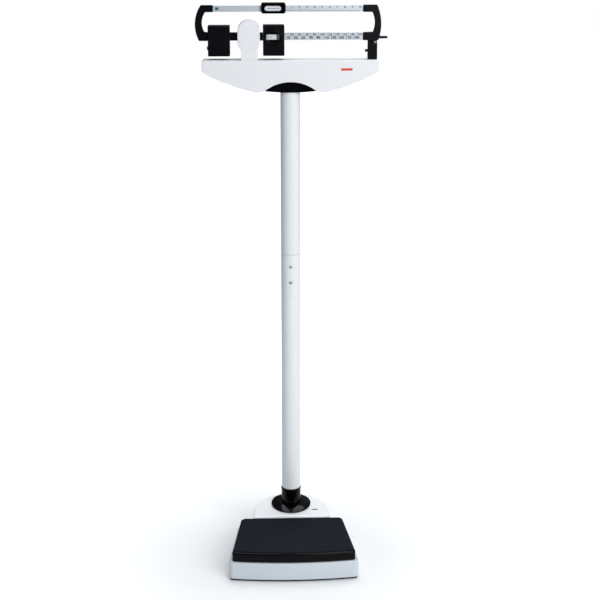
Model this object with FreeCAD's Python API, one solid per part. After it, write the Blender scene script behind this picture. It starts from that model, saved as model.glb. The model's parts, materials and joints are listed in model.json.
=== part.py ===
import FreeCAD, Part
import os

# Physician beam scale: a platform on a lever base, a two-piece column, and an eye-level weighing beam.
# Lengths are millimetres. X is right and Y is back as seen by the reader, Z is up from the floor.
# Shapes are drawn about the column's axis, and save() moves them to the middle of the footprint.

V = FreeCAD.Vector

# Column axis, from the middle of the footprint
COLUMN_X = -5.1
COLUMN_Y = 125.75

# Base tray
TRAY_FRONT_HALF = 181.0
TRAY_BACK_HALF = 157.0
TRAY_BOW_Y = -314.0
TRAY_CORNER_Y = -300.0
SEAM_Y = -72.0
TRAY_BOTTOM = 6.0
TRAY_TOP = 55.0
SHEET = 3.0
TRAY_LIP = 12.0
TRAY_CORNER_R = 12.0

# Tail of the base, around the column's foot
TAIL_R = 112.0
TAIL_Y = -49.5
TAIL_AXIS_Z = 92.0
TAIL_SLOPE = 5.0

# Platform and mat
PLATE_FRONT_HALF = 172.5
PLATE_BACK_HALF = 148.0
PLATE_BOW_Y = -310.0
PLATE_CORNER_Y = -296.5
PLATE_BACK_Y = -78.0
PLATE_BOTTOM = 57.0
PLATE_TOP = 82.0
PLATE_CORNER_R = 10.0
MAT_INSET = 6.0
MAT_TOP = 85.0

# Base levers: both rows of knives carry the platform, and both levers reduce its load alike
LEVER_ARM = 30.0
LONG_PIVOT = (140.0, -275.0)
LONG_Z = 30.0
LONG_FORK_Y = -60.0
SHORT_PIVOT = (115.0, -95.0)
SHORT_Z = 48.0
LINK_Y = -185.0
LEVER_THICK = 14.0
KNIFE_DROP = 3.0
KNIFE_H = 8.0
KNIFE_HALF = 4.0
KNIFE_GAP = 0.4

# Column
TUBE_R = 27.0
TUBE_WALL = 2.5
TUBE_FOOT_Z = 95.0
JOINT_Z = 863.0
JOINT_GAP = 1.0
TUBE_TOP_Z = 1350.0
JOINT_SCREW_Z = (829.0, 783.0)
BOOT_R = 58.0
BOOT_Z = 94.0
COLLAR_R = 28.3
COLLAR_TOP_Z = 150.0
ROD_R = 4.0

# Head housing
HOUSE_HALF = 239.0
HOUSE_TOP = 1405.0
HOUSE_SIDE_Z = 1374.0
HOUSE_LOW_X = 82.0
HOUSE_LOW_Z = 1318.0
HOUSE_DEPTH = 30.0
HOUSE_WALL = 2.5
ARCH_HALF = 71.5
ARCH_LOW = 1321.0
ARCH_TOP = 1346.0
HEAD_PLATE_Z = 1352.0

# Fulcrum, load knife and head lever
FULCRUM_X = -106.0
FULCRUM_Z = 1462.0
LOAD_X = -124.0
HEAD_PIVOT_X = 60.0
HEAD_LEVER_Z = 1372.0
HEAD_LEVER_H = 14.0

# Fulcrum cover
EAR_X = -112.0
EAR_HALF = 30.0
EAR_LOW = 1424.6
EAR_HIGH = 1509.7
STEM_LEFT = -133.0
STEM_RIGHT = -88.0

# Beam
LOWER_Z = (1456.5, 1476.0)
LOWER_HALF_Y = 3.0
UPPER_Z = (1531.5, 1547.6)
UPPER_HALF_Y = 2.5
BAR_RIGHT = 197.0
UPPER_LEFT = -207.0
BAR_SOCKET = 12.0
SLEEVE_Z = (1455.5, 1477.0)
SLEEVE_HALF_Y = 7.0
SLEEVE_RIGHT = -74.4
BRACKET_HALF_Y = 6.0
SCALE_ZERO_X = -15.4
NOTCH_PITCH = 10.2
NOTCH_COUNT = 21

# Counterweight
COUNTER_X = (-221.8, -162.7)
COUNTER_Z = (1414.8, 1495.7)
COUNTER_HALF_Y = 22.0
ZERO_Z = 1435.0
ZERO_SCREW_R = 3.0

# Poises
MAIN_X = (-73.4, -15.8)
MAIN_Z = (1416.0, 1497.0)
MAIN_HALF_Y = 22.0
BOSS_X = -45.7
BOSS_Z = 1466.0
FINE_X = (-78.0, -12.0)
FINE_Z = (1527.0, 1555.5)
FINE_HALF_Y = 13.0
POISE_GAP = 0.4

# Lock post
POST_X = (211.0, 236.0)
POST_TOP = 1448.4
LOCK_Z = 1462.0
TRAVEL_PIN_X = 224.0
THUMB_Z = 1428.0

RUN_GAP = 0.05

PLANES = {
    "front": (lambda a, b: V(a, 0, b), V(0, 1, 0)),
    "plan": (lambda a, b: V(a, b, 0), V(0, 0, 1)),
    "side": (lambda a, b: V(0, a, b), V(1, 0, 0)),
}


def box(x0, x1, y0, y1, z0, z1):
    return Part.makeBox(x1 - x0, y1 - y0, z1 - z0, V(x0, y0, z0))


def rod(radius, start, end):
    """Round bar between two points."""
    along = V(*end) - V(*start)
    return Part.makeCylinder(radius, along.Length, V(*start), along)


def slab(plane, steps, low, high):
    """Solid from a closed outline. A step is a point to go straight to, or a pair for an arc: through, to."""
    lift, normal = PLANES[plane]
    start = lift(*steps[0])
    here = start
    edges = []
    for step in steps[1:]:
        if isinstance(step[0], tuple):
            end = lift(*step[1])
            edges.append(Part.Arc(here, lift(*step[0]), end).toShape())
        else:
            end = lift(*step)
            edges.append(Part.LineSegment(here, end).toShape())
        here = end
    if (here - start).Length > 1e-6:
        edges.append(Part.LineSegment(here, start).toShape())
    face = Part.Face(Part.Wire(edges))
    face.translate(normal * low)
    return face.extrude(normal * (high - low))


def fuse(first, *others):
    return first.multiFuse(list(others)).removeSplitter()


def cut(shape, *tools):
    for tool in tools:
        shape = shape.cut(tool)
    return shape


def mirrored(shape):
    """The same shape on the other side of the column's X = 0 plane."""
    return shape.mirror(V(0, 0, 0), V(1, 0, 0))


def is_along(edge, direction):
    if not isinstance(edge.Curve, (Part.Line, Part.LineSegment)):
        return False
    return abs(edge.tangentAt(edge.FirstParameter).dot(direction)) > 0.999


def round_along(solid, direction, radius):
    """Round the straight edges that run along a direction."""
    edges = [e for e in solid.Edges if is_along(e, direction)]
    return solid.makeFillet(radius, edges)


def round_level(solid, axis, level, radius):
    """Round every edge that lies in the plane where an axis (0 X, 1 Y, 2 Z) has this value."""
    edges = []
    for edge in solid.Edges:
        low = (edge.BoundBox.XMin, edge.BoundBox.YMin, edge.BoundBox.ZMin)[axis]
        high = (edge.BoundBox.XMax, edge.BoundBox.YMax, edge.BoundBox.ZMax)[axis]
        if abs(low - level) < 1e-3 and abs(high - level) < 1e-3:
            edges.append(edge)
    return solid.makeFillet(radius, edges)


def save(name, shape):
    """Write one sub-part, in the object's own frame."""
    moved = shape.copy()
    moved.translate(V(COLUMN_X, COLUMN_Y, 0))
    moved.exportStep("parts/" + name + ".step")


# ---------------------------------------------------------------- base

def tray_outline(inset):
    return [
        (-TRAY_FRONT_HALF + inset, TRAY_CORNER_Y + inset),
        ((0, TRAY_BOW_Y + inset), (TRAY_FRONT_HALF - inset, TRAY_CORNER_Y + inset)),
        (TRAY_BACK_HALF - inset, SEAM_Y - inset),
        (-TRAY_BACK_HALF + inset, SEAM_Y - inset),
    ]


def tail_outline(radius, front_y):
    return [
        (-radius, front_y),
        (radius, front_y),
        (radius, TAIL_Y),
        ((0, TAIL_Y + radius), (-radius, TAIL_Y)),
    ]


def plate_outline(inset):
    return [
        (-PLATE_FRONT_HALF + inset, PLATE_CORNER_Y + inset),
        ((0, PLATE_BOW_Y + inset), (PLATE_FRONT_HALF - inset, PLATE_CORNER_Y + inset)),
        (PLATE_BACK_HALF - inset, PLATE_BACK_Y - inset),
        (-PLATE_BACK_HALF + inset, PLATE_BACK_Y - inset),
    ]


def make_base():
    up = V(0, 0, 1)
    tail_r = TAIL_R - SHEET - 0.5
    tray = round_along(slab("plan", tray_outline(0), TRAY_BOTTOM, TRAY_TOP), up, TRAY_CORNER_R)
    tray = round_level(tray, 2, TRAY_TOP, SHEET)
    tray = fuse(tray, slab("plan", tail_outline(tail_r, SEAM_Y - 2), TRAY_BOTTOM, TRAY_TOP - 5))
    floor_z = TRAY_BOTTOM + SHEET
    hollow = round_along(slab("plan", tray_outline(SHEET), floor_z, TRAY_TOP - SHEET), up, TRAY_CORNER_R - SHEET)
    mouth = round_along(slab("plan", tray_outline(TRAY_LIP), floor_z, TRAY_TOP + 1), up, SHEET)
    tail_hollow = slab("plan", tail_outline(tail_r - SHEET, SEAM_Y + SHEET), floor_z, TRAY_TOP + 1)
    doorway = box(-30, 30, SEAM_Y - 2 * SHEET, SEAM_Y + 2 * SHEET, floor_z + SHEET, TRAY_TOP - 5)
    save("base_tray", cut(tray, hollow, mouth, tail_hollow, doorway))

    rim = round_along(slab("plan", tray_outline(2), 1, TRAY_BOTTOM), up, TRAY_CORNER_R - 2)
    rim_hole = slab("plan", tray_outline(9), 0, TRAY_BOTTOM + 1)
    feet = []
    for x, y in ((-150, -278), (150, -278), (-78, -8), (78, -8)):
        foot = Part.makeCylinder(16, TRAY_BOTTOM, V(x, y, 0))
        feet.append(round_level(foot, 2, 0, 1))
    feet = Part.makeCompound(feet)
    save("base_rim", cut(rim, rim_hole, box(-170, -130, -298, -258, 0, 7), box(130, 170, -298, -258, 0, 7)))
    save("foot_pads", feet)

    stands = []
    for (x, y), lever_z in ((LONG_PIVOT, LONG_Z), (SHORT_PIVOT, SHORT_Z)):
        for side in (-1, 1):
            top = lever_z - KNIFE_GAP
            stand = fuse(
                box(side * x - 16, side * x + 16, y - 9, y + 9, floor_z, floor_z + 4),
                box(side * x - 12, side * x + 12, y - 6, y + 6, floor_z + 4, top),
            )
            stands.append(stand)
    save("lever_stands", Part.makeCompound(stands))


def under_slope(solid, height):
    """Keep what lies under the tail's sloping top, which falls towards the front."""
    above = box(-200, 200, -200, 200, 0, 100)
    above.rotate(V(0, 0, 0), V(1, 0, 0), TAIL_SLOPE)
    above.translate(V(0, 0, height))
    return solid.cut(above)


def make_tail():
    low = TRAY_TOP - 5
    outer = under_slope(slab("plan", tail_outline(TAIL_R, SEAM_Y), low, 120), TAIL_AXIS_Z)
    top_edges = [e for e in outer.Edges if e.BoundBox.ZMin > TAIL_AXIS_Z - 12]
    outer = outer.makeFillet(4.0, top_edges)
    lip = box(-TAIL_R + 1, TAIL_R - 1, SEAM_Y - 4.6, SEAM_Y + 2, TRAY_TOP + 0.5, MAT_TOP - 1.5)
    inner = under_slope(slab("plan", tail_outline(TAIL_R - SHEET, SEAM_Y + SHEET), low - 1, 118), TAIL_AXIS_Z - SHEET)
    cover = cut(fuse(outer, lip), inner, Part.makeCylinder(34, 80, V(0, 0, low)))
    recess = slab("plan", [(62, -38), (76, -38), ((78.5, -35.5), (76, -33)), (62, -33), ((59.5, -35.5), (62, -38))],
                  TAIL_AXIS_Z - 6, TAIL_AXIS_Z)
    cover = cut(cover, recess)
    save("tail_cover", cover)
    save("level_vial", round_along(box(60.5, 77.5, -37.5, -33.5, TAIL_AXIS_Z - 11, TAIL_AXIS_Z - 7), V(0, 0, 1), 1.5))


def make_platform():
    up = V(0, 0, 1)
    plate = round_along(slab("plan", plate_outline(0), PLATE_BOTTOM, PLATE_TOP), up, PLATE_CORNER_R)
    plate = round_level(plate, 2, PLATE_TOP, 5.0)
    hollow = slab("plan", plate_outline(SHEET), PLATE_BOTTOM - 1, PLATE_TOP - SHEET)
    save("platform_cover", plate.cut(round_along(hollow, up, PLATE_CORNER_R - SHEET)))
    mat = round_along(slab("plan", plate_outline(MAT_INSET), PLATE_TOP, MAT_TOP), up, PLATE_CORNER_R - 3)
    save("platform_mat", round_level(mat, 2, MAT_TOP, 1.2))
    posts = []
    for x, y, tip in load_knives():
        for side in (-1, 1):
            posts.append(box(side * x - 10, side * x + 10, y - 5, y + 5, tip + KNIFE_GAP, PLATE_TOP - SHEET))
    save("platform_bearings", Part.makeCompound(posts))


def arm_x(start, end, y):
    """Where a lever arm crosses a line of constant Y."""
    return start[0] + (end[0] - start[0]) * (y - start[1]) / (end[1] - start[1])


LONG_END = (8.0, LONG_FORK_Y)
SHORT_END = (16.0, LINK_Y)


def load_knives():
    """Places of the platform's knives: X on either side, Y, and the height of the edge."""
    long_y = LONG_PIVOT[1] + LEVER_ARM
    short_y = SHORT_PIVOT[1] - LEVER_ARM
    return [
        (arm_x(LONG_PIVOT, LONG_END, long_y), long_y, LONG_Z + LEVER_THICK + 6),
        (arm_x(SHORT_PIVOT, SHORT_END, short_y), short_y, SHORT_Z + LEVER_THICK - 2 + 6),
    ]


def knife(x, y, edge_z, up):
    """Hardened prism along X whose edge points up or down."""
    back_z = edge_z - up * KNIFE_H
    return slab("side", [(y - KNIFE_HALF, back_z), (y + KNIFE_HALF, back_z), (y, edge_z)], x - 11, x + 11)


def arm(start, end, width, z0, z1):
    """Straight bar between two points of the plan."""
    along = V(end[0] - start[0], end[1] - start[1], 0)
    across = V(-along.y, along.x, 0).normalize() * (width / 2)
    corners = []
    for point, side in ((start, 1), (end, 1), (end, -1), (start, -1)):
        corners.append((point[0] + side * across.x, point[1] + side * across.y))
    return slab("plan", corners, z0, z1)


def make_base_levers():
    (long_x, long_y, long_tip), (short_x, short_y, short_tip) = load_knives()
    z0, z1 = LONG_Z + KNIFE_DROP, LONG_Z + LEVER_THICK
    tail = LONG_PIVOT[1] - 12
    side_arm = arm((arm_x(LONG_PIVOT, LONG_END, tail), tail), LONG_END, 10, z0, z1)
    cross_x = arm_x(LONG_PIVOT, LONG_END, LINK_Y)
    cross = box(-cross_x, cross_x, LINK_Y - 5, LINK_Y + 5, z0, z1)
    front_cross_x = arm_x(LONG_PIVOT, LONG_END, -262)
    front_cross = box(-front_cross_x, front_cross_x, -266, -258, z0 + 2, z1)
    nose = box(-4, 4, LONG_FORK_Y - 12, 9, z0, z1)
    lever = fuse(side_arm, mirrored(side_arm), cross, front_cross, nose, box(-13, 13, -72, -56, z0, z1))
    knives = []
    for side in (-1, 1):
        knives.append(knife(side * LONG_PIVOT[0], LONG_PIVOT[1], LONG_Z, -1))
        knives.append(knife(side * long_x, long_y, long_tip, 1))
    save("long_lever", cut(lever, *knives))
    save("long_lever_knives", Part.makeCompound(knives))

    low, high = z0 - 4.2, SHORT_Z + LEVER_THICK - 2 + 4.4
    ring = box(-4, 4, LINK_Y - 10, LINK_Y + 10, low, high)
    save("lever_link", ring.cut(box(-5, 5, LINK_Y - 5.6, LINK_Y + 5.6, low + 4, high - 4)))

    z0, z1 = SHORT_Z + KNIFE_DROP, SHORT_Z + LEVER_THICK - 2
    tail = SHORT_PIVOT[1] + 6
    side_arm = arm((arm_x(SHORT_PIVOT, SHORT_END, tail), tail), SHORT_END, 10, z0, z1)
    nose = box(-18, 18, LINK_Y - 4.5, LINK_Y + 4.5, z0, z1)
    brace_x = arm_x(SHORT_PIVOT, SHORT_END, -112)
    brace = box(-brace_x, brace_x, -116, -108, z0, z1)
    lever = fuse(side_arm, mirrored(side_arm), nose, brace)
    knives = []
    for side in (-1, 1):
        knives.append(knife(side * SHORT_PIVOT[0], SHORT_PIVOT[1], SHORT_Z, -1))
        knives.append(knife(side * short_x, short_y, short_tip, 1))
    save("short_lever", cut(lever, *knives))
    save("short_lever_knives", Part.makeCompound(knives))


# ---------------------------------------------------------------- column

def tube(radius, wall, z0, z1):
    outer = Part.makeCylinder(radius, z1 - z0, V(0, 0, z0))
    return outer.cut(Part.makeCylinder(radius - wall, z1 - z0, V(0, 0, z0)))


def make_column():
    floor_z = TRAY_BOTTOM + SHEET
    bore = TUBE_R - TUBE_WALL
    socket = fuse(
        Part.makeCylinder(50, 6, V(0, 0, floor_z)),
        Part.makeCylinder(TUBE_R + 1, TUBE_FOOT_Z - floor_z, V(0, 0, floor_z)),
        Part.makeCylinder(bore, COLLAR_TOP_Z + 40 - floor_z, V(0, 0, floor_z)),
    )
    socket = cut(socket, Part.makeCylinder(bore - 4, 300, V(0, 0, floor_z)), box(-9, 9, -60, 0, floor_z, 56))
    save("column_socket", socket)
    lower = tube(TUBE_R, TUBE_WALL, TUBE_FOOT_Z, JOINT_Z)
    upper = tube(TUBE_R, TUBE_WALL, JOINT_Z + JOINT_GAP, TUBE_TOP_Z)
    sleeve = tube(bore, 2.0, JOINT_SCREW_Z[1] - 60, JOINT_Z + 110)
    screws = []
    for z in JOINT_SCREW_Z:
        shank = rod(2.5, (0, -TUBE_R + 1, z), (0, -bore + 6, z))
        head = Part.makeSphere(6, V(0, -TUBE_R + 3.6, z))
        head = head.common(rod(4.2, (0, -TUBE_R - 2, z), (0, -TUBE_R + 1, z)))
        slot = box(-0.5, 0.5, -TUBE_R - 3, -TUBE_R - 1.3, z - 5, z + 5)
        screws.append(fuse(head, shank).cut(slot))
    holes = [rod(4.2 + RUN_GAP, (0, -TUBE_R - 2, z), (0, -TUBE_R + 1, z)) for z in JOINT_SCREW_Z]
    holes += [rod(2.5, (0, -TUBE_R - 2, z), (0, -bore + 6, z)) for z in JOINT_SCREW_Z]
    save("lower_tube", cut(lower, *holes))
    save("upper_tube", upper)
    save("joint_sleeve", cut(sleeve, *holes))
    save("joint_screws", Part.makeCompound(screws))
    make_boot()
    make_draw_rod()


def make_boot():
    """Domed rubber boot lying on the sloping tail, with a straight collar around the tube."""
    dome = Part.Face(Part.Wire([
        Part.LineSegment(V(0, 0, 0), V(BOOT_R, 0, 0)).toShape(),
        Part.LineSegment(V(BOOT_R, 0, 0), V(BOOT_R, 0, 2.5)).toShape(),
        Part.Arc(V(BOOT_R, 0, 2.5), V(46, 0, 7.5), V(33, 0, 11)).toShape(),
        Part.LineSegment(V(33, 0, 11), V(0, 0, 11)).toShape(),
        Part.LineSegment(V(0, 0, 11), V(0, 0, 0)).toShape(),
    ])).revolve(V(0, 0, 0), V(0, 0, 1), 360)
    dome.rotate(V(0, 0, 0), V(1, 0, 0), TAIL_SLOPE)
    dome.translate(V(0, 0, BOOT_Z))
    collar = Part.makeCylinder(COLLAR_R, COLLAR_TOP_Z - BOOT_Z - 8, V(0, 0, BOOT_Z + 2))
    bead = Part.makeTorus(COLLAR_R - 1.0, 2.0, V(0, 0, COLLAR_TOP_Z - 4))
    cap = Part.makeCylinder(COLLAR_R, 6, V(0, 0, COLLAR_TOP_Z - 6))
    boot = fuse(dome, collar, cap, bead).cut(Part.makeCylinder(TUBE_R + 1, 90, V(0, 0, BOOT_Z - 20)))
    boot = boot.fuse(tube(COLLAR_R, COLLAR_R - TUBE_R, TUBE_FOOT_Z + 30, COLLAR_TOP_Z)).removeSplitter()
    screw = Part.makeCylinder(2.6, 8, V(13, -43, BOOT_Z - 3))
    save("column_boot", boot.cut(screw))
    save("boot_screw", round_level(screw, 2, BOOT_Z + 5, 1.0))


def make_draw_rod():
    z0 = LONG_Z + LEVER_THICK + 5
    save("draw_rod", rod(ROD_R, (0, 0, z0 + 8), (0, 0, HEAD_LEVER_Z - 9)))
    hook = box(-9, 9, -8, 8, LONG_Z - 7, z0 + 8)
    hook = hook.cut(box(-5.5, 5.5, -9, 9, LONG_Z + KNIFE_DROP - KNIFE_GAP, z0))
    top = HEAD_LEVER_Z + HEAD_LEVER_H
    eye = box(-8, 8, -8, 8, HEAD_LEVER_Z - 9, top + 9)
    eye = eye.cut(box(-9, 9, -3.6, 3.6, HEAD_LEVER_Z - 2, top + KNIFE_GAP))
    save("draw_rod_stirrups", Part.makeCompound([hook, eye]))


# ---------------------------------------------------------------- head

def house_outline(inset):
    """Front view of the housing: flat top, boat-shaped underside, arch over the column."""
    half = HOUSE_HALF - inset
    top = HOUSE_TOP - inset
    low = HOUSE_LOW_Z + inset
    arch = ARCH_HALF + inset * 2
    arch_low = ARCH_LOW + inset
    arch_top = ARCH_TOP + inset
    lower_x = HOUSE_LOW_X + 12 + inset * 1.5
    bulge = ((half + lower_x) / 2 + 10, (HOUSE_SIDE_Z + HOUSE_LOW_Z) / 2 - 2 + inset)
    return [
        (-half, top),
        (half, top),
        (half, HOUSE_SIDE_Z + inset * 0.6),
        (bulge, (lower_x, low)),
        (arch, arch_low),
        ((0, arch_top), (-arch, arch_low)),
        (-lower_x, low),
        ((-bulge[0], bulge[1]), (-half, HOUSE_SIDE_Z + inset * 0.6)),
    ]


def make_housing():
    depth = HOUSE_DEPTH
    openings = [
        box(STEM_LEFT + 2, STEM_RIGHT - 2, -depth + 2.5, depth - 2.5, HOUSE_TOP - 6, HOUSE_TOP + 6),
        box(POST_X[0] + 1, POST_X[1] - 1, -9, 12, HOUSE_TOP - 6, HOUSE_TOP + 6),
        Part.makeCylinder(TUBE_R + 0.3, 60, V(0, 0, HOUSE_LOW_Z - 10)),
    ]
    outer = slab("front", house_outline(0), -depth, depth)
    outer = round_along(outer, V(0, 1, 0), 7.0)
    outer = round_level(outer, 1, -depth, 2.0)
    outer = round_level(outer, 1, depth, 2.0)
    inner = slab("front", house_outline(HOUSE_WALL), -depth + HOUSE_WALL, depth - HOUSE_WALL)
    shell = cut(outer, inner, *openings)
    screw_places = [(x, HOUSE_TOP - 14) for x in (-225, 225)] + [(x, HOUSE_LOW_Z + 16) for x in (-98, 98)]
    heads = []
    for x, z in screw_places:
        head = rod(3.5, (x, depth, z), (x, depth - 2, z))
        shank = rod(1.75, (x, depth - 2, z), (x, depth - 9, z))
        heads.append(fuse(head, shank))
    front = shell.common(box(-300, 300, -depth - 1, 0, 1200, 1500))
    rear = shell.common(box(-300, 300, 0, depth + 1, 1200, 1500))
    save("housing_front", front)
    save("housing_rear", cut(rear, *heads))
    save("housing_screws", Part.makeCompound(heads))
    badge = box(137, 168, -depth - 0.8, -depth, 1377, 1383)
    save("badge", round_along(badge, V(0, 1, 0), 1.5))


def make_head_frame():
    plate = box(-136, 90, -24, 24, HEAD_PLATE_Z, HEAD_PLATE_Z + 4)
    socket = tube(TUBE_R - TUBE_WALL, 3.0, HEAD_PLATE_Z - 42, HEAD_PLATE_Z)
    feet = [box(x0, x1, -24, 24, HEAD_PLATE_Z + 14, HEAD_PLATE_Z + 18) for x0, x1 in ((-210, -132), (86, 210))]
    webs = [box(x0, x0 + 4, -24, 24, HEAD_PLATE_Z, HEAD_PLATE_Z + 18) for x0 in (-136, 86)]
    slot = box(LOAD_X - 8, LOAD_X + 8, -13, 13, HEAD_PLATE_Z - 1, HEAD_PLATE_Z + 19)
    frame = fuse(plate, socket, *feet, *webs)
    frame = cut(frame, slot, Part.makeCylinder(ROD_R + 3, 60, V(0, 0, HEAD_PLATE_Z - 40)), box(-140, 60, -5, 5,
                HEAD_PLATE_Z + 10, HEAD_PLATE_Z + 30))
    save("head_frame", frame)

    rise = ARCH_TOP - ARCH_LOW
    arch_r = (ARCH_HALF ** 2 + rise ** 2) / (2 * rise)
    dome_r = arch_r - 0.4
    end_z = ARCH_LOW + 1
    end_x = (dome_r ** 2 - (end_z - ARCH_TOP + arch_r) ** 2) ** 0.5
    chord = [(-end_x, end_z), ((0, ARCH_TOP - 0.4), (end_x, end_z)), ((0, end_z - 4), (-end_x, end_z))]
    collar = slab("front", chord, -HOUSE_DEPTH + 0.8, HOUSE_DEPTH - 0.8)
    save("head_collar", collar.cut(Part.makeCylinder(TUBE_R, 80, V(0, 0, HOUSE_LOW_Z - 20))))

    low = HEAD_PLATE_Z + 4
    stand = fuse(
        box(FULCRUM_X - 10, FULCRUM_X + 20, -20, 20, low, low + 4),
        box(FULCRUM_X - 8, FULCRUM_X + 8, -18, -12, low, FULCRUM_Z - 10),
        box(FULCRUM_X - 8, FULCRUM_X + 8, 12, 18, low, FULCRUM_Z - 10),
    )
    save("fulcrum_stand", cut(stand, box(-140, 60, -5, 5, HEAD_PLATE_Z + 10, HEAD_PLATE_Z + 30)))
    groove = slab("front", [(FULCRUM_X, FULCRUM_Z - 2.4), (FULCRUM_X - 3, FULCRUM_Z + 1),
                            (FULCRUM_X + 3, FULCRUM_Z + 1)], -20, 20)
    pads = []
    for y in (-18, 12):
        pads.append(box(FULCRUM_X - 6, FULCRUM_X + 6, y, y + 6, FULCRUM_Z - 10, FULCRUM_Z - 1.4).cut(groove))
    save("fulcrum_bearings", Part.makeCompound(pads))

    middle = HEAD_LEVER_Z + HEAD_LEVER_H / 2
    cheeks = fuse(
        box(HEAD_PIVOT_X - 10, HEAD_PIVOT_X + 10, -10, 10, low, low + 4),
        box(HEAD_PIVOT_X - 8, HEAD_PIVOT_X + 8, -9, -5, low, middle + 9),
        box(HEAD_PIVOT_X - 8, HEAD_PIVOT_X + 8, 5, 9, low, middle + 9),
    )
    pin = rod(3, (HEAD_PIVOT_X, -9, middle), (HEAD_PIVOT_X, 9, middle))
    save("pivot_bracket", cheeks.cut(pin))
    save("pivot_pin", pin)
    lever = box(LOAD_X - 7, HEAD_PIVOT_X + 9, -3, 3, HEAD_LEVER_Z, HEAD_LEVER_Z + HEAD_LEVER_H)
    lever = round_along(lever, V(0, 1, 0), 5.0)
    save("head_lever", lever.cut(rod(3 + RUN_GAP, (HEAD_PIVOT_X, -9, middle), (HEAD_PIVOT_X, 9, middle))))

    top = LOWER_Z[1] + 2.0 + KNIFE_GAP
    shackle = box(LOAD_X - 4, LOAD_X + 4, -11, 11, HEAD_LEVER_Z - 8, top + 7)
    save("load_shackle", shackle.cut(box(LOAD_X - 5, LOAD_X + 5, -8, 8, HEAD_LEVER_Z - KNIFE_GAP, top)))


def ear_outline(inset):
    radius = EAR_HALF - inset
    low = EAR_LOW + EAR_HALF
    high = EAR_HIGH - EAR_HALF
    return [
        (EAR_X - radius, low),
        ((EAR_X, low - radius), (EAR_X + radius, low)),
        (EAR_X + radius, high),
        ((EAR_X, high + radius), (EAR_X - radius, high)),
    ]


def make_fulcrum_cover():
    depth = HOUSE_DEPTH
    wall = HOUSE_WALL
    head = slab("front", ear_outline(0), -depth, depth)
    head = round_level(round_level(head, 1, -depth, 1.5), 1, depth, 1.5)
    stem = box(STEM_LEFT, STEM_RIGHT, -depth + 0.6, depth - 0.6, HOUSE_TOP, EAR_LOW + EAR_HALF)
    outer = fuse(head, stem)
    inner = fuse(
        slab("front", ear_outline(wall), -depth + wall, depth - wall),
        box(STEM_LEFT + wall, STEM_RIGHT - wall, -depth + wall, depth - wall, HOUSE_TOP - 1, EAR_LOW + EAR_HALF),
    )
    path = box(EAR_X - 40, EAR_X + 40, -12, 12, LOWER_Z[0] - 9, LOWER_Z[1] + 9)
    seam = slab("front", ear_outline(3.0), -depth - 1, -depth + 1.1).cut(
        slab("front", ear_outline(4.8), -depth - 2, -depth + 2))
    shell = cut(outer, inner, path, seam)
    save("fulcrum_cover_front", shell.common(box(-200, 0, -depth - 1, 0, 1390, 1520)))
    save("fulcrum_cover_rear", shell.common(box(-200, 0, 0, depth + 1, 1390, 1520)))


def make_lock():
    """Post at the beam's end: its back plate holds the travel pin, the lock lever and the thumb screw."""
    left, right = POST_X
    post = round_along(box(left, right, -10, 8, HOUSE_TOP, POST_TOP), V(0, 0, 1), 2.0)
    post = round_level(post, 2, POST_TOP, 1.5)
    plate = round_along(box(left, right, 8, 12, HOUSE_TOP, LOWER_Z[1] + 1), V(0, 1, 0), 2.5)
    foot_low = HOUSE_TOP - 8
    neck = box(left + 2, right - 2, -8, 8, foot_low, HOUSE_TOP + 1)
    foot = box(left - 6, right - 3, -18, 18, foot_low, HOUSE_TOP - HOUSE_WALL)
    slot_z = (LOWER_Z[0] + LOWER_Z[1]) / 2
    slot = box(TRAVEL_PIN_X - 3.4, TRAVEL_PIN_X + 3.4, 7, 13, slot_z - 9, slot_z + 9)
    hub_x, hub_z = right - 5, LOCK_Z - 12
    pivot = rod(2.5, (hub_x, 8, hub_z), (hub_x, 19, hub_z))
    thumb_hole = rod(2 + RUN_GAP, (left - 1, 0, THUMB_Z), (left + 14, 0, THUMB_Z))
    save("lock_post", cut(fuse(post, plate, neck, foot), slot, pivot, thumb_hole))
    save("lock_pivot", fuse(pivot, rod(4.5, (hub_x, 18.4, hub_z), (hub_x, 20.4, hub_z))))

    hub = rod(6, (hub_x, 12.4, hub_z), (hub_x, 18, hub_z))
    rise = slab("front", [(hub_x - 5, hub_z), (hub_x + 5, hub_z), (hub_x + 8, LOCK_Z + 4), (hub_x - 4, LOCK_Z + 4)],
                12.4, 18)
    grip = Part.makeCone(4.0, 3.2, 32, V(hub_x + 2, 16.6, LOCK_Z), V(1, 0, 0))
    tip = Part.makeSphere(3.2, V(hub_x + 32, 16.6, LOCK_Z))
    lever = fuse(hub, rise, grip, tip)
    save("lock_lever", lever.cut(rod(2.5 + RUN_GAP, (hub_x, 8, hub_z), (hub_x, 19, hub_z))))
    make_thumb_screw(left)


def make_thumb_screw(face_x):
    """Ball knob with a straight shank, turned in one piece."""
    ball_r, shank_r = 4.0, 2.0
    centre_x = face_x - ball_r - 0.2
    neck_x = centre_x + (ball_r ** 2 - shank_r ** 2) ** 0.5
    start = V(centre_x - ball_r, 0, THUMB_Z)
    neck = V(neck_x, 0, THUMB_Z + shank_r)
    tip = V(face_x + 13, 0, THUMB_Z + shank_r)
    end = V(face_x + 13, 0, THUMB_Z)
    profile = Part.Wire([
        Part.Arc(start, V(centre_x, 0, THUMB_Z + ball_r), neck).toShape(),
        Part.LineSegment(neck, tip).toShape(),
        Part.LineSegment(tip, end).toShape(),
        Part.LineSegment(end, start).toShape(),
    ])
    save("thumb_screw", Part.Face(profile).revolve(V(0, 0, THUMB_Z), V(1, 0, 0), 360))


# ---------------------------------------------------------------- beam

def bar_shape(x0, x1, half_y, z_range):
    return box(x0, x1, -half_y, half_y, z_range[0], z_range[1])


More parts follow.
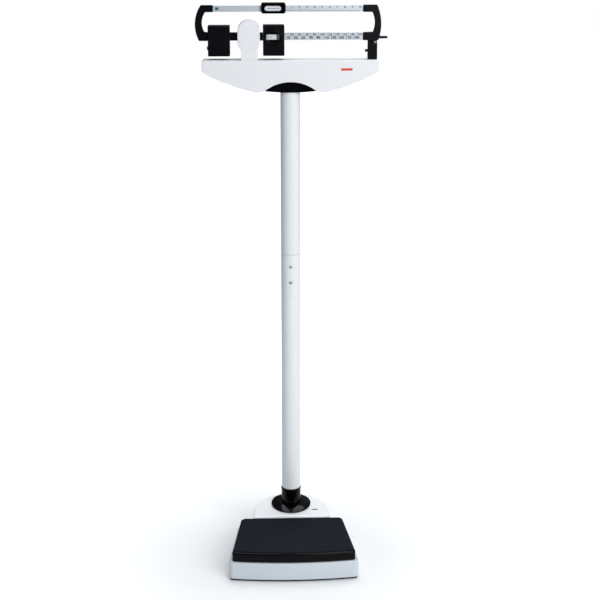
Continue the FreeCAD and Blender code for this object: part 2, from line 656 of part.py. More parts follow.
def make_beam():
    lower = bar_shape(-190, BAR_RIGHT + BAR_SOCKET, LOWER_HALF_Y, LOWER_Z)
    notches = []
    for count in range(NOTCH_COUNT):
        x = SCALE_ZERO_X + count * NOTCH_PITCH
        notches.append(slab("front", [(x - 1.2, LOWER_Z[0] - 1), (x + 1.2, LOWER_Z[0] - 1), (x, LOWER_Z[0] + 1.2)],
                            -LOWER_HALF_Y - 1, LOWER_HALF_Y + 1))
    knife_body = slab("front", [(FULCRUM_X, FULCRUM_Z), (FULCRUM_X - 4.5, FULCRUM_Z + 6),
                                (FULCRUM_X - 4.5, FULCRUM_Z + 11), (FULCRUM_X + 4.5, FULCRUM_Z + 11),
                                (FULCRUM_X + 4.5, FULCRUM_Z + 6)], -19, 19)
    load_knife = slab("front", [(LOAD_X, LOWER_Z[1] + 2), (LOAD_X + 3.5, LOWER_Z[1] - 4),
                                (LOAD_X - 3.5, LOWER_Z[1] - 4)], -7.5, 7.5)
    save("lower_scale_bar", cut(lower, *notches, knife_body, load_knife))
    sleeve = bar_shape(-226, SLEEVE_RIGHT, SLEEVE_HALF_Y, SLEEVE_Z)
    sleeve = round_along(sleeve, V(1, 0, 0), 1.5)
    save("arm_sleeve", cut(sleeve, bar_shape(-190, SLEEVE_RIGHT + 1, LOWER_HALF_Y, LOWER_Z), knife_body, load_knife))
    save("beam_knives", Part.makeCompound([knife_body, load_knife]))

    upper = bar_shape(UPPER_LEFT - BAR_SOCKET, BAR_RIGHT + BAR_SOCKET, UPPER_HALF_Y, UPPER_Z)
    save("upper_scale_bar", upper)
    mark = round_along(box(-201, -192, -UPPER_HALF_Y - 0.4, -UPPER_HALF_Y, 1536, 1543), V(0, 1, 0), 1.0)
    save("green_mark", mark)
    make_brackets(upper, lower)
    make_counterweight()


def make_brackets(upper, lower):
    """Black end pieces that tie the two scale bars together."""
    y = BRACKET_HALF_Y
    left = slab("front", [
        (UPPER_LEFT, 1549), (-240, 1549), ((-256, 1505), (-246, 1454.5)), (-222, 1454.5), (-222, 1478), (-231, 1478),
        ((-237.5, 1505), (-228, 1530.5)), (UPPER_LEFT, 1530.5),
    ], -y, y)
    left = round_along(left, V(0, 1, 0), 3.0)
    left = round_level(round_level(left, 1, -y, 1.5), 1, y, 1.5)
    sleeve = bar_shape(-226, SLEEVE_RIGHT, SLEEVE_HALF_Y, SLEEVE_Z)
    save("left_bracket", cut(left, upper, sleeve))
    right = slab("front", [
        (BAR_RIGHT, 1549.5), (235, 1549.5), ((246, 1506), (239, 1455.5)), (BAR_RIGHT, 1455.5), (BAR_RIGHT, 1477),
        (224, 1477), ((229, 1506), (222, 1530.5)), (BAR_RIGHT, 1530.5),
    ], -y, y)
    right = round_along(right, V(0, 1, 0), 3.0)
    right = round_level(round_level(right, 1, -y, 1.5), 1, y, 1.5)
    slot_z = (LOWER_Z[0] + LOWER_Z[1]) / 2
    pin = rod(2.5, (TRAVEL_PIN_X, LOWER_HALF_Y, slot_z), (TRAVEL_PIN_X, 11.6, slot_z))
    save("right_bracket", fuse(cut(right, upper, lower), pin))


def make_counterweight():
    x0, x1 = COUNTER_X
    z0, z1 = COUNTER_Z
    body = round_along(box(x0, x1, -COUNTER_HALF_Y, COUNTER_HALF_Y, z0, z1), V(0, 1, 0), 2.5)
    body = round_level(round_level(body, 1, -COUNTER_HALF_Y, 1.2), 1, COUNTER_HALF_Y, 1.2)
    sleeve_way = bar_shape(x0 - 1, x1 + 1, SLEEVE_HALF_Y, SLEEVE_Z)
    hollow = box(x0 + 5, x1 - 5, -17, 17, z0 + 4, SLEEVE_Z[0] - 3)
    screw_way = rod(ZERO_SCREW_R + RUN_GAP, (x0 - 1, 0, ZERO_Z), (x1 - 2, 0, ZERO_Z))
    front = -COUNTER_HALF_Y
    panels = [box(-216, -180, front - 1.6, front, 1436, 1489), box(-216, -169, front - 1.6, front, 1420, 1431)]
    panels = [round_along(p, V(0, 1, 0), 1.5) for p in panels]
    save("counterweight", cut(fuse(body, *panels), sleeve_way, hollow, screw_way))
    head = rod(5, (x0 - 3.2, 0, ZERO_Z), (x0 - 0.4, 0, ZERO_Z))
    slot = box(x0 - 4, x0 - 2, -6, 6, ZERO_Z - 0.6, ZERO_Z + 0.6)
    screw = fuse(head, rod(ZERO_SCREW_R, (x0 - 1, 0, ZERO_Z), (x1 - 3, 0, ZERO_Z)))
    save("zero_screw", screw.cut(slot))
    weight = rod(12, (-200, 0, ZERO_Z), (-186, 0, ZERO_Z))
    save("zero_weight", weight.cut(rod(ZERO_SCREW_R + RUN_GAP, (-201, 0, ZERO_Z), (-185, 0, ZERO_Z))))


def stadium(x, z, width, height, y0, y1):
    r = height / 2
    half = width / 2 - r
    return slab("front", [(x - half, z - r), (x + half, z - r), ((x + half + r, z), (x + half, z + r)),
                          (x - half, z + r), ((x - half - r, z), (x - half, z - r))], y0, y1)


def make_main_poise():
    x0, x1 = MAIN_X
    z0, z1 = MAIN_Z
    y = MAIN_HALF_Y
    body = round_along(box(x0, x1, -y, y, z0, z1), V(0, 1, 0), 2.5)
    body = round_level(round_level(body, 1, -y, 1.2), 1, y, 1.2)
    way = box(x0 - 1, x1 + 1, -LOWER_HALF_Y - POISE_GAP, LOWER_HALF_Y + POISE_GAP,
              LOWER_Z[0] - POISE_GAP, LOWER_Z[1] + POISE_GAP)
    window = box(-65, -28, -y - 9, -LOWER_HALF_Y, 1458.8, 1473.2)
    groove = box(x0 - 1, x1 + 1, -y - 1, -y + 1.2, 1433, 1435.2)
    pawl_room = box(-50, -38, -2.4, 2.4, LOWER_Z[0] - 18, LOWER_Z[0])
    save("main_poise_body", cut(body, way, window, groove, pawl_room))
    ring = rod(24, (BOSS_X, -y - 4, BOSS_Z), (BOSS_X, -y, BOSS_Z))
    ring = round_level(ring, 1, -y - 4, 1.5)
    well = rod(17, (BOSS_X, -y - 5, BOSS_Z), (BOSS_X, -y - 2, BOSS_Z))
    save("main_poise_boss", cut(ring, well, window))
    save("main_poise_window", box(-65, -28, -y + 1, -y + 2.5, 1458.8, 1473.2))
    pawl = slab("front", [(-49, LOWER_Z[0] - 17), (-39, LOWER_Z[0] - 17), (-39, LOWER_Z[0] - 4),
                          (-44, LOWER_Z[0] - 1), (-49, LOWER_Z[0] - 4)], -2.3, 2.3)
    save("main_poise_pawl", pawl)


def make_fine_poise():
    x0, x1 = FINE_X
    z0, z1 = FINE_Z
    y = FINE_HALF_Y
    body = round_along(box(x0, x1, -y, y, z0, z1), V(0, 1, 0), 6.0)
    body = round_level(round_level(body, 1, -y, 1.5), 1, y, 1.5)
    middle_z = (UPPER_Z[0] + UPPER_Z[1]) / 2
    way = box(x0 - 1, x1 + 1, -UPPER_HALF_Y - POISE_GAP, UPPER_HALF_Y + POISE_GAP,
              UPPER_Z[0] - POISE_GAP, UPPER_Z[1] + POISE_GAP)
    centre = (x0 + x1) / 2 - 1
    window = stadium(centre, middle_z + 1, 45, 13.4, -y - 1, -UPPER_HALF_Y)
    spring_room = box(centre - 16, centre + 16, -1.8, 1.8, UPPER_Z[1], UPPER_Z[1] + 4.5)
    save("fine_poise_body", cut(body, way, window, spring_room))
    save("fine_poise_window", stadium(centre, middle_z + 1, 45, 13.4, -y + 1.5, -y + 3))
    top = UPPER_Z[1]
    spring = slab("front", [(centre - 15, top + 3.6), ((centre, top + 0.6), (centre + 15, top + 3.6)),
                            (centre + 15, top + 4.4), ((centre, top + 1.4), (centre - 15, top + 4.4))], -1.7, 1.7)
    save("fine_poise_spring", spring)


def main():
    os.makedirs("parts", exist_ok=True)
    make_base()
    make_tail()
    make_platform()
    make_base_levers()
    make_column()
    make_housing()
    make_head_frame()
    make_fulcrum_cover()
    make_lock()
    make_beam()
    make_main_poise()
    make_fine_poise()


main()
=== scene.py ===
import json
import math

import bmesh
import bpy
from mathutils import Matrix, Vector


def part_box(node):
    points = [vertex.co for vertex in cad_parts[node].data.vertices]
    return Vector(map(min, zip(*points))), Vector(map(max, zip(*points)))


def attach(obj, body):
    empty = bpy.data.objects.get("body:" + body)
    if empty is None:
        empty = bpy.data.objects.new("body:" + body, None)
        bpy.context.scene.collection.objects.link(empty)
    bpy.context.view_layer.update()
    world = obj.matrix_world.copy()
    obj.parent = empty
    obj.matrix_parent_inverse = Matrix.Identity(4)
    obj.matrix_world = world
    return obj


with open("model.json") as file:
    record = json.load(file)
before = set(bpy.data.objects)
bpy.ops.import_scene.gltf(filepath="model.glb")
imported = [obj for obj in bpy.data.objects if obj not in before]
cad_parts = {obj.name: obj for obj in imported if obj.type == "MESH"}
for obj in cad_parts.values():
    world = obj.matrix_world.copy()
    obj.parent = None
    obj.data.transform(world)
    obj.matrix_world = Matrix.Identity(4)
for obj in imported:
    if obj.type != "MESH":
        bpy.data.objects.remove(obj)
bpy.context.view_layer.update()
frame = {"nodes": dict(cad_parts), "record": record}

MM = 0.001
MIX_NUMBER = (2, 3)          # a Mix node's two inputs when it mixes numbers
MIX_COLOUR = (6, 7)          # and when it mixes colours
NUMBER_OUT, COLOUR_OUT = 0, 2
WHITE = (1, 1, 1, 1)

# ---------------------------------------------------------------- places and sizes

upper_low, upper_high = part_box("upper_scale_bar")
lower_low, lower_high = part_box("lower_scale_bar")
tube_low, tube_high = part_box("lower_tube")
COLUMN = Vector(((tube_low.x + tube_high.x) / 2, (tube_low.y + tube_high.y) / 2, 0))

# Both scales start 0.4 mm right of the main poise's right edge
SCALE_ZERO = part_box("main_poise_body")[1].x + 0.4 * MM
KILO_STEP = 20.4 * MM        # one kilogram on the fine scale
KILO_COUNT = 10
LINES_PER_KILO = 20
# The fine scale's lines: every so many of them are this long, and the first that fits counts
FINE_LINES = ((LINES_PER_KILO, 6.4 * MM), (LINES_PER_KILO // 2, 5.2 * MM), (2, 3.8 * MM), (1, 2.4 * MM))
FINE_LINE_WIDTH = 0.28 * MM
FINE_FIGURE = 6.0 * MM       # height of the fine scale's figures
TEN_STEP = 10.2 * MM         # ten kilograms on the main scale
TEN_COUNT = 20
LARGE_FIGURE = 7.4 * MM      # 10, 30, 50 and so on, in the main scale's lower row
LARGE_FIGURE_WEIGHT = 0.045
LARGE_LINE = (0.8 * MM, 4.4 * MM)   # width and height
SMALL_FIGURE = 6.2 * MM      # 0, 20, 40 and so on, in its upper row
SMALL_LINE = (0.5 * MM, 3.4 * MM)
LINE_SHIFT = 2.4 * MM        # from the middle of a row to the middle of the lines that share it
FIGURE_WEIGHT = 0.02         # how far a figure's outline is pushed out, as a share of its height
CAP_SHARE = 0.7              # height of a figure as a share of its font size
INK = 0.08 * MM              # how far print stands proud of the metal

HAIRLINE = (26 * MM, 1.0 * MM)      # on the fine poise's label
HAIRLINE_SHIFT = -3 * MM
POINTER_INSET = 9 * MM       # from the window's right edge
POINTER_RADIUS = 2.4 * MM
DASH = (4.4 * MM, 1.3 * MM)  # the two dashes on the main poise's label, and their places
DASH_PLACES = (-12.5 * MM, -5.5 * MM)
STRIP_INSET = 4.7 * MM       # from the window's right edge to the strip's middle
STRIP_WIDTH = 8.6 * MM
STRIP_SHORT = 0.4 * MM       # shorter than the window by this much
STRIP_PROUD = 0.6 * MM
STRIP_THICK = 0.55 * MM
STRIP_ROUND = 0.2 * MM
RING_RADIUS = 17.6 * MM
RING_WIRE = 0.5 * MM         # radius of the wire
RING_PROUD = 0.1 * MM
VIAL_RISE = 4.2 * MM         # from the vial up through the tail cover's recess

FLOOR_REACH = 12             # half the width of the floor, in metres
FLOOR_GLOW = (0.06, 1.0)     # painted glow of the paper floor, seen by the lens alone, beside the scale and far from it
GLOW_REACH = (0.22, 1.6)     # how far out, in metres, that change begins and ends
WALL_GLOW, CEILING_GLOW = 0.14, 0.42
DARK_SIDE = (-0.78, 0.62, -0.05)  # direction of the darkest part of the room
DARK_SHARE = 0.3             # brightness left there, as a share of the rest
CAMERA_PLACE = COLUMN + Vector((-0.096, -3.6, 1.75))
CAMERA_PAN, CAMERA_TILT = 0.0341, 0.2773  # to the right and downwards, in radians
CAMERA_LENS = 78.6           # millimetres, on a sensor 36 mm wide


# ---------------------------------------------------------------- materials

def linear(code):
    """Linear RGBA from an sRGB hex code."""
    channels = [int(code[i:i + 2], 16) / 255 for i in (1, 3, 5)]
    return tuple(c / 12.92 if c <= 0.04045 else ((c + 0.055) / 1.055) ** 2.4 for c in channels) + (1.0,)


def add(tree, kind, values=None, **settings):
    """Add a node. Settings are its own properties. Values go to its sockets, and an output is linked."""
    made = tree.nodes.new(kind)
    for name, value in settings.items():
        setattr(made, name, value)
    for socket, value in (values or {}).items():
        if isinstance(value, bpy.types.NodeSocket):
            tree.links.new(value, made.inputs[socket])
        else:
            made.inputs[socket].default_value = value
    return made


def start(name, colour, **values):
    """A material with one Principled shader. Returns the material, its tree and the shader."""
    material = bpy.data.materials.new(name)
    material.use_nodes = True
    tree = material.node_tree
    tree.nodes.clear()
    sockets = {"Base Color": linear(colour)}
    sockets.update({key.replace("_", " "): value for key, value in values.items()})
    shader = add(tree, "ShaderNodeBsdfPrincipled", sockets)
    add(tree, "ShaderNodeOutputMaterial", {"Surface": shader.outputs["BSDF"]})
    return material, tree, shader


def grain(tree, shader, size, height, stretch=(1, 1, 1), detail=2.0):
    """Fine uneven surface: a noise with features of about this size, in metres, as a bump this high."""
    place = add(tree, "ShaderNodeTexCoord")
    scaled = add(tree, "ShaderNodeMapping", {"Vector": place.outputs["Object"], "Scale": stretch})
    noise = add(tree, "ShaderNodeTexNoise", {"Vector": scaled.outputs["Vector"], "Scale": 1 / size,
                                             "Detail": detail})
    bump = add(tree, "ShaderNodeBump", {"Height": noise.outputs["Fac"], "Distance": height,
                                        "Strength": 1.0})
    tree.links.new(bump.outputs["Normal"], shader.inputs["Normal"])
    return noise


def mottle(tree, shader, noise, smooth, rough):
    """Roughness that wanders between two values with a noise."""
    spread = add(tree, "ShaderNodeMapRange", {"Value": noise.outputs["Fac"], "From Min": 0.3,
                                              "From Max": 0.7, "To Min": smooth, "To Max": rough})
    tree.links.new(spread.outputs["Result"], shader.inputs["Roughness"])


def powder_coat_white():
    """Baked white powder coat on steel and die casting: a soft gloss over a very faint orange peel."""
    material, tree, shader = start("powder_coat_white", "#F0F1F3", Roughness=0.32, IOR=1.5,
                                   Coat_Weight=0.35, Coat_Roughness=0.12)
    grain(tree, shader, size=2.5 * MM, height=0.006 * MM)
    return material


def tube_enamel_white():
    """Stoved enamel on drawn steel tube: smoother and glossier than the powder coat."""
    material, tree, shader = start("tube_enamel_white", "#EDF1F1", Roughness=0.22, IOR=1.5,
                                   Coat_Weight=0.5, Coat_Roughness=0.08)
    grain(tree, shader, size=6 * MM, height=0.004 * MM, stretch=(1, 1, 0.2))
    return material


def moulded_abs_black():
    """Polished moulded ABS, black: narrow highlights, held low so that it stays black in white light."""
    material, tree, shader = start("moulded_abs_black", "#040305", Roughness=0.1, IOR=1.5,
                                   Specular_IOR_Level=0.12)
    grain(tree, shader, size=4 * MM, height=0.003 * MM)
    return material


def powder_coat_black():
    """Satin black powder coat on die-cast zinc: soft, low highlights, fine grain, a trace of blue."""
    material, tree, shader = start("powder_coat_black", "#06060D", Roughness=0.32, IOR=1.5,
                                   Specular_IOR_Level=0.15)
    noise = grain(tree, shader, size=1.2 * MM, height=0.02 * MM)
    mottle(tree, shader, noise, smooth=0.24, rough=0.32)
    return material


def brushed_aluminium():
    """Silver anodised aluminium bar, brushed along its length: cool, with long faint streaks."""
    material, tree, shader = start("brushed_aluminium", "#CDD2D9", Metallic=1.0, Roughness=0.46)
    noise = grain(tree, shader, size=0.8 * MM, height=0.004 * MM, stretch=(0.02, 1, 1))
    mottle(tree, shader, noise, smooth=0.42, rough=0.52)
    return material


def pebbled_rubber_navy():
    """Blue-black rubber matting with a fine pebbled face: no clear highlight, paler on the pebbles."""
    material, tree, shader = start("pebbled_rubber_navy", "#11141F", Roughness=0.6, IOR=1.5,
                                   Specular_IOR_Level=0.15)
    # coarser than such matting, whose pebbles are about 1 mm, so that it shows from a few metres
    noise = grain(tree, shader, size=2.4 * MM, height=0.25 * MM, detail=3.0)
    colour = add(tree, "ShaderNodeMix", {"Factor": noise.outputs["Fac"], MIX_COLOUR[0]: linear("#06080F"),
                                         MIX_COLOUR[1]: linear("#0E1122")}, data_type="RGBA")
    tree.links.new(colour.outputs[COLOUR_OUT], shader.inputs["Base Color"])
    mottle(tree, shader, noise, smooth=0.5, rough=0.72)
    return material


def moulded_rubber_black():
    """Black moulded rubber of the feet and the base's edge: matt."""
    return start("moulded_rubber_black", "#121214", Roughness=0.8, IOR=1.52)[0]


def zinc_plated_steel():
    """Bright zinc plate on steel: a cool grey metal with a slightly cloudy sheen."""
    material, tree, shader = start("zinc_plated_steel", "#A9AEB2", Metallic=1.0, Roughness=0.35)
    noise = grain(tree, shader, size=3 * MM, height=0.002 * MM)
    mottle(tree, shader, noise, smooth=0.28, rough=0.45)
    return material


def primed_cast_iron():
    """Grey primer on sand-cast iron: rough and dull."""
    material, tree, shader = start("primed_cast_iron", "#4A4C4E", Roughness=0.75, IOR=1.5)
    grain(tree, shader, size=1.5 * MM, height=0.12 * MM)
    return material


def turned_brass():
    """Turned brass, unlacquered: warm yellow with fine turning marks."""
    material, tree, shader = start("turned_brass", "#C9A659", Metallic=1.0, Roughness=0.28)
    grain(tree, shader, size=0.6 * MM, height=0.004 * MM, stretch=(1, 0.1, 0.1))
    return material


def printed_acrylic():
    """White-backed acrylic label behind the poise windows: glossy, slightly grey."""
    return start("printed_acrylic", "#DDE0E2", Roughness=0.12, IOR=1.49)[0]


def green_print():
    """Green verification mark, screen printed: flat and a little glossy."""
    return start("green_print", "#2F6F4E", Roughness=0.35, IOR=1.5)[0]


def red_print():
    """Orange-red screen print of the plain badge bar: bright and a little glossy."""
    return start("red_print", "#DD4A2A", Roughness=0.35, IOR=1.5)[0]


def black_ink():
    """Black scale print on the anodised bars: flat, with hardly any gloss."""
    return start("black_ink", "#0E1014", Roughness=0.5, IOR=1.5, Specular_IOR_Level=0.2)[0]


def smoked_green_lens():
    """Grey-green acrylic strip at the edge of the main poise's window: glossy."""
    return start("smoked_green_lens", "#4F6B68", Roughness=0.15, IOR=1.49)[0]


def black_oxide_steel():
    """Blackened steel of the zero screw: dark grey metal with a low sheen."""
    return start("black_oxide_steel", "#2E3033", Metallic=1.0, Roughness=0.45)[0]


def powder_coat_pale_grey():
    """Coat of the base tray, pale blue-grey: the white powder coat a shade darker than on the tail cover
    and the column.
    """
    material, tree, shader = start("powder_coat_pale_grey", "#D3DAE0", Roughness=0.3, IOR=1.5,
                                   Coat_Weight=0.35, Coat_Roughness=0.12)
    grain(tree, shader, size=2.5 * MM, height=0.006 * MM)
    return material


def tinted_vial():
    """Dark green spirit vial under glass, nearly black as painted shade of the recess it sits in, with a
    wet gloss.
    """
    return start("tinted_vial", "#1F2A27", Roughness=0.06, IOR=1.5)[0]


def brown_ring():
    """Ring around the main poise's boss, glossy and nearly black: painted shade along its rim, tinted
    red-brown as a painted reflection.
    """
    return start("brown_ring", "#2A1614", Roughness=0.2, IOR=1.54)[0]


SLOT_FINISH = {
    "white_enamel": powder_coat_white(),
    "tube_enamel": tube_enamel_white(),
    "black_plastic": moulded_abs_black(),
    "black_casting": powder_coat_black(),
    "beam_aluminium": brushed_aluminium(),
    "rubber_mat": pebbled_rubber_navy(),
    "rubber_foot": moulded_rubber_black(),
    "steel": zinc_plated_steel(),
    "cast_iron": primed_cast_iron(),
    "brass": turned_brass(),
    "label": printed_acrylic(),
    "green": green_print(),
    "red": red_print(),
}
INK_FINISH = black_ink()
LENS_FINISH = smoked_green_lens()
# dark ring at the main poise's boss: painted shade with a red-brown painted reflection
BOSS_RIM_SHADE_FINISH = brown_ring()
NODE_FINISH = {
    "base_tray": powder_coat_pale_grey(),
    "zero_screw": black_oxide_steel(),
    # the vial is nearly black: painted shade of the tail cover's recess
    "level_vial": tinted_vial(),
}


def dress(piece, material):
    """Give a piece this one material."""
    piece.data.materials.clear()
    piece.data.materials.append(material)


for part in frame["record"]["subparts"]:
    finish = NODE_FINISH.get(part["node"], SLOT_FINISH[part["material_slot"]])
    dress(frame["nodes"][part["node"]], finish)


# ---------------------------------------------------------------- printed scales and small details

def keep(name, mesh, material, body):
    """Make a piece from a bmesh, in place, moving with a body."""
    bmesh.ops.recalc_face_normals(mesh, faces=mesh.faces[:])
    data = bpy.data.meshes.new(name)
    mesh.to_mesh(data)
    mesh.free()
    piece = bpy.data.objects.new(name, data)
    bpy.context.scene.collection.objects.link(piece)
    dress(piece, material)
    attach(piece, body)


def plate(mesh, x, z, width, height, front_y, thick):
    """Thin upright plate whose middle is at x, z and whose front face is at front_y."""
    place = Matrix.Translation((x, front_y + thick / 2, z)) @ Matrix.Diagonal((width, thick, height, 1))
    bmesh.ops.create_cube(mesh, size=1, matrix=place)


def stamp(mesh, text, x, z, height, front_y, weight=FIGURE_WEIGHT):
    """Figures standing proud of a bar's front face, centred on x, z. Weight thickens their strokes."""
    curve = bpy.data.curves.new("figures", "FONT")
    curve.body = text
    curve.size = height / CAP_SHARE
    curve.resolution_u = 2
    curve.offset = weight * height
    curve.align_x = "CENTER"
    curve.align_y = "CENTER"
    curve.extrude = INK / 2
    holder = bpy.data.objects.new("figures", curve)
    bpy.context.scene.collection.objects.link(holder)
    bpy.context.view_layer.update()
    graph = bpy.context.evaluated_depsgraph_get()
    data = bpy.data.meshes.new_from_object(holder.evaluated_get(graph))
    bpy.data.objects.remove(holder)
    place = Matrix.Translation((x, front_y - INK / 2, z))
    data.transform(place @ Matrix.Rotation(math.pi / 2, 4, "X"))
    mesh.from_mesh(data)
    bpy.data.meshes.remove(data)
    bmesh.ops.remove_doubles(mesh, verts=mesh.verts[:], dist=0.001 * MM)


def print_fine_scale():
    """0 to 10 kg in steps of 50 g along the upper bar, figures above the lines."""
    lines = bmesh.new()
    figures = bmesh.new()
    front = upper_low.y
    foot = upper_low.z + 0.8 * MM
    row = upper_high.z - 4.6 * MM
    for count in range(KILO_COUNT * LINES_PER_KILO + 1):
        x = SCALE_ZERO + count * KILO_STEP / LINES_PER_KILO
        length = next(size for every, size in FINE_LINES if count % every == 0)
        plate(lines, x, foot + length / 2, FINE_LINE_WIDTH, length, front - INK, INK)
    for kilo in range(KILO_COUNT + 1):
        x = SCALE_ZERO + kilo * KILO_STEP
        stamp(figures, str(kilo), x, row, FINE_FIGURE, front)
    keep("fine_scale_lines", lines, INK_FINISH, "beam")
    keep("fine_scale_figures", figures, INK_FINISH, "beam")


def print_main_scale():
    """0 to 200 kg in steps of 10 kg along the lower bar, figures in two rows."""
    lines = bmesh.new()
    figures = bmesh.new()
    front = lower_low.y
    upper_row = lower_high.z - 5.0 * MM
    lower_row = lower_low.z + 6.0 * MM
    for count in range(TEN_COUNT + 1):
        x = SCALE_ZERO + count * TEN_STEP
        text = str(count * 10)
        if count % 2:
            plate(lines, x, upper_row + LINE_SHIFT, *LARGE_LINE, front - INK, INK)
            stamp(figures, text, x, lower_row, LARGE_FIGURE, front, LARGE_FIGURE_WEIGHT)
        else:
            plate(lines, x, lower_row - LINE_SHIFT, *SMALL_LINE, front - INK, INK)
            stamp(figures, text, x, upper_row, SMALL_FIGURE, front)
    keep("main_scale_lines", lines, INK_FINISH, "beam")
    keep("main_scale_figures", figures, INK_FINISH, "beam")


def dress_fine_poise():
    """Hairline and triangular pointer on the label behind the fine poise's window."""
    low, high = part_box("fine_poise_window")
    middle = (low.z + high.z) / 2
    printed = bmesh.new()
    plate(printed, (low.x + high.x) / 2 + HAIRLINE_SHIFT, middle, *HAIRLINE, low.y - INK, INK)
    place = Matrix.Translation((high.x - POINTER_INSET, low.y - INK / 2, middle))
    place = place @ Matrix.Rotation(math.pi / 2, 4, "Y")
    place = place @ Matrix.Rotation(math.pi / 2, 4, "X")
    bmesh.ops.create_cone(printed, cap_ends=True, segments=3, radius1=POINTER_RADIUS,
                          radius2=POINTER_RADIUS, depth=INK, matrix=place)
    keep("fine_poise_print", printed, INK_FINISH, "fine_poise")


def print_dashes(low, high):
    """Two dashes on the label behind the main poise's window, whose corners are low and high."""
    printed = bmesh.new()
    for offset in DASH_PLACES:
        plate(printed, (low.x + high.x) / 2 + offset, (low.z + high.z) / 2, *DASH, low.y - INK, INK)
    keep("main_poise_print", printed, INK_FINISH, "main_poise")


def fit_strip(low, high):
    """Grey-green strip inside the right edge of that window, its edges rounded."""
    strip = bmesh.new()
    height = high.z - low.z - STRIP_SHORT
    plate(strip, high.x - STRIP_INSET, (low.z + high.z) / 2, STRIP_WIDTH, height, low.y - STRIP_PROUD,
          STRIP_THICK)
    bmesh.ops.bevel(strip, geom=strip.edges[:], offset=STRIP_ROUND, offset_type="OFFSET",
                    affect="EDGES", segments=2, profile=0.5, material=-1)
    keep("main_poise_lens", strip, LENS_FINISH, "main_poise")


def fit_ring():
    """Round wire ring on the front of the main poise, around its boss: a line of painted shade along the
    boss's rim.
    """
    boss_low, boss_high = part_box("main_poise_boss")
    centre = (boss_low + boss_high) / 2
    ring = bmesh.new()
    place = Matrix.Translation((centre.x + RING_RADIUS, boss_low.y - RING_PROUD, centre.z))
    bmesh.ops.create_circle(ring, cap_ends=False, segments=12, radius=RING_WIRE, matrix=place)
    bmesh.ops.spin(ring, geom=ring.verts[:] + ring.edges[:], cent=(centre.x, boss_low.y, centre.z),
                   axis=(0, 1, 0), angle=math.radians(360), steps=96, use_merge=True)
    for face in ring.faces:
        face.smooth = True
    # the ring is painted shade along the boss's rim
    keep("main_poise_rim_shade", ring, BOSS_RIM_SHADE_FINISH, "main_poise")


def glaze_vial():
    """Dark glass over the spirit vial, painted shade of the recess, standing just proud of the tail cover,
    with pointed ends.
    """
    low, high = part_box("level_vial")
    middle = (low + high) / 2
    half_x = (high.x - low.x) / 2
    half_y = (high.y - low.y) / 2
    shoulder = half_x - half_y
    outline = [(-half_x, 0), (-shoulder, -half_y), (shoulder, -half_y), (half_x, 0),
               (shoulder, half_y), (-shoulder, half_y)]
    mesh = bmesh.new()
    base = [mesh.verts.new((middle.x + x, middle.y + y, high.z + 0.05 * MM)) for x, y in outline]
    made = bmesh.ops.extrude_face_region(mesh, geom=[mesh.faces.new(base)])
    top = [v for v in made["geom"] if isinstance(v, bmesh.types.BMVert)]
    bmesh.ops.translate(mesh, verts=top, vec=(0, 0, VIAL_RISE))
    # a nearly black plug filling the recess over the vial: painted shade
    keep("level_vial_recess_shade", mesh, NODE_FINISH["level_vial"], "stand")


print_fine_scale()
print_main_scale()
dress_fine_poise()
print_dashes(*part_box("main_poise_window"))
fit_strip(*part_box("main_poise_window"))
fit_ring()
glaze_vial()


# ---------------------------------------------------------------- floor, light and camera

def studio_floor():
    """Pale paper glowing to the lens alone, painted light: faintly beside the scale and more further out,
    so that it burns out to white beyond the contact shadow.
    """
    material, tree, shader = start("studio_floor", "#E6E7E8", Roughness=0.7)
    rays = add(tree, "ShaderNodeLightPath")
    place = add(tree, "ShaderNodeTexCoord")
    reach = add(tree, "ShaderNodeVectorMath", {0: place.outputs["Object"]}, operation="LENGTH")
    painted_glow = add(tree, "ShaderNodeMapRange", {"Value": reach.outputs["Value"],
                                            "From Min": GLOW_REACH[0], "From Max": GLOW_REACH[1],
                                            "To Min": FLOOR_GLOW[0], "To Max": FLOOR_GLOW[1]})
    # painted light: the floor's glow, which only the lens sees
    seen = add(tree, "ShaderNodeMath", {0: rays.outputs["Is Camera Ray"], 1: painted_glow.outputs["Result"]},
               operation="MULTIPLY")
    shader.inputs["Emission Color"].default_value = WHITE
    tree.links.new(seen.outputs["Value"], shader.inputs["Emission Strength"])
    return material


def make_floor():
    """Plain pale studio floor."""
    mesh = bmesh.new()
    bmesh.ops.create_grid(mesh, x_segments=1, y_segments=1, size=FLOOR_REACH)
    data = bpy.data.meshes.new("floor")
    mesh.to_mesh(data)
    mesh.free()
    floor = bpy.data.objects.new("floor", data)
    bpy.context.scene.collection.objects.link(floor)
    floor.location.z = -0.1 * MM
    dress(floor, studio_floor())


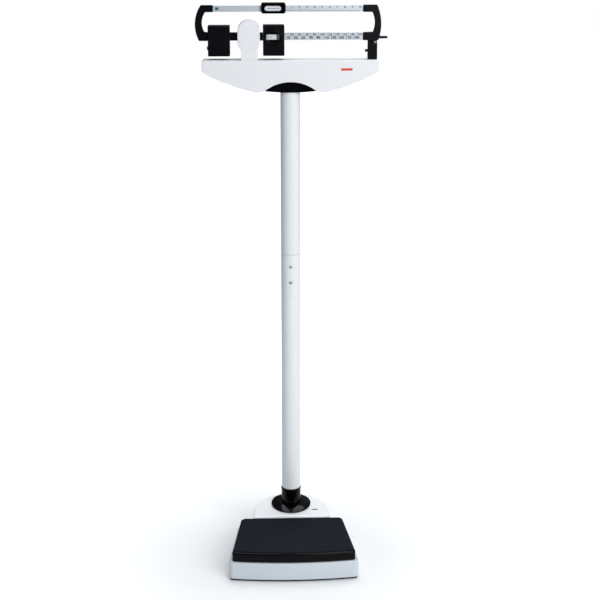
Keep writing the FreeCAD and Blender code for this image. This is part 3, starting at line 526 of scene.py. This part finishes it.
def make_world():
    """White to the lens. For the light, a pale ceiling over darker walls, darkest behind on the left."""
    world = bpy.data.worlds.new("studio")
    bpy.context.scene.world = world
    world.use_nodes = True
    tree = world.node_tree
    tree.nodes.clear()
    place = add(tree, "ShaderNodeTexCoord")
    height = add(tree, "ShaderNodeSeparateXYZ", {"Vector": place.outputs["Generated"]})
    ceiling = add(tree, "ShaderNodeMapRange", {"Value": height.outputs["Z"],
                                               "From Min": 0.05, "From Max": 0.7,
                                               "To Min": WALL_GLOW, "To Max": CEILING_GLOW},
                  interpolation_type="SMOOTHSTEP")
    side = add(tree, "ShaderNodeVectorMath", {0: place.outputs["Generated"], 1: DARK_SIDE},
               operation="DOT_PRODUCT")
    dark = add(tree, "ShaderNodeMapRange", {"Value": side.outputs["Value"],
                                            "From Min": 0.3, "From Max": 0.85,
                                            "To Min": 1.0, "To Max": DARK_SHARE},
               interpolation_type="SMOOTHSTEP")
    glow = add(tree, "ShaderNodeMath", {0: ceiling.outputs["Result"], 1: dark.outputs["Result"]},
               operation="MULTIPLY")
    rays = add(tree, "ShaderNodeLightPath")
    seen = add(tree, "ShaderNodeMix", {"Factor": rays.outputs["Is Camera Ray"],
                                       MIX_NUMBER[0]: glow.outputs["Value"], MIX_NUMBER[1]: 1.0},
               data_type="FLOAT")
    tint = add(tree, "ShaderNodeMix", {"Factor": rays.outputs["Is Camera Ray"],
                                       MIX_COLOUR[0]: linear("#E9F3FC"), MIX_COLOUR[1]: WHITE},
               data_type="RGBA")
    light = add(tree, "ShaderNodeBackground", {"Color": tint.outputs[COLOUR_OUT],
                                               "Strength": seen.outputs[NUMBER_OUT]})
    add(tree, "ShaderNodeOutputWorld", {"Surface": light.outputs["Background"]})


def make_light(name, place, aim, size, power):
    """A rectangular soft light of this size in metres and power in watts, turned towards aim."""
    data = bpy.data.lights.new(name, "AREA")
    data.shape = "RECTANGLE"
    data.size, data.size_y = size
    data.energy = power
    lamp = bpy.data.objects.new(name, data)
    bpy.context.scene.collection.objects.link(lamp)
    lamp.location = place
    lamp.rotation_mode = "QUATERNION"
    lamp.rotation_quaternion = (Vector(aim) - Vector(place)).to_track_quat("-Z", "Y")


def make_camera():
    """Camera at head height, in front and a little left of the column, tilted down to take in the base."""
    data = bpy.data.cameras.new("camera")
    data.sensor_width = 36
    data.lens = CAMERA_LENS
    camera = bpy.data.objects.new("camera", data)
    bpy.context.scene.collection.objects.link(camera)
    camera.location = CAMERA_PLACE
    level = math.cos(CAMERA_TILT)
    aim = Vector((math.sin(CAMERA_PAN) * level, math.cos(CAMERA_PAN) * level, -math.sin(CAMERA_TILT)))
    camera.rotation_mode = "QUATERNION"
    camera.rotation_quaternion = aim.to_track_quat("-Z", "Y")
    bpy.context.scene.camera = camera


make_floor()
make_world()
make_light("overhead", place=(0.2, 1.1, 3.5), aim=(0, 0, 0), size=(2.6, 2.2), power=76)
make_light("key_right", place=(1.6, -2.5, 2.4), aim=(0, 0, 1.2), size=(2.6, 2.4), power=84)
make_camera()
bpy.context.scene.view_settings.view_transform = "Standard"
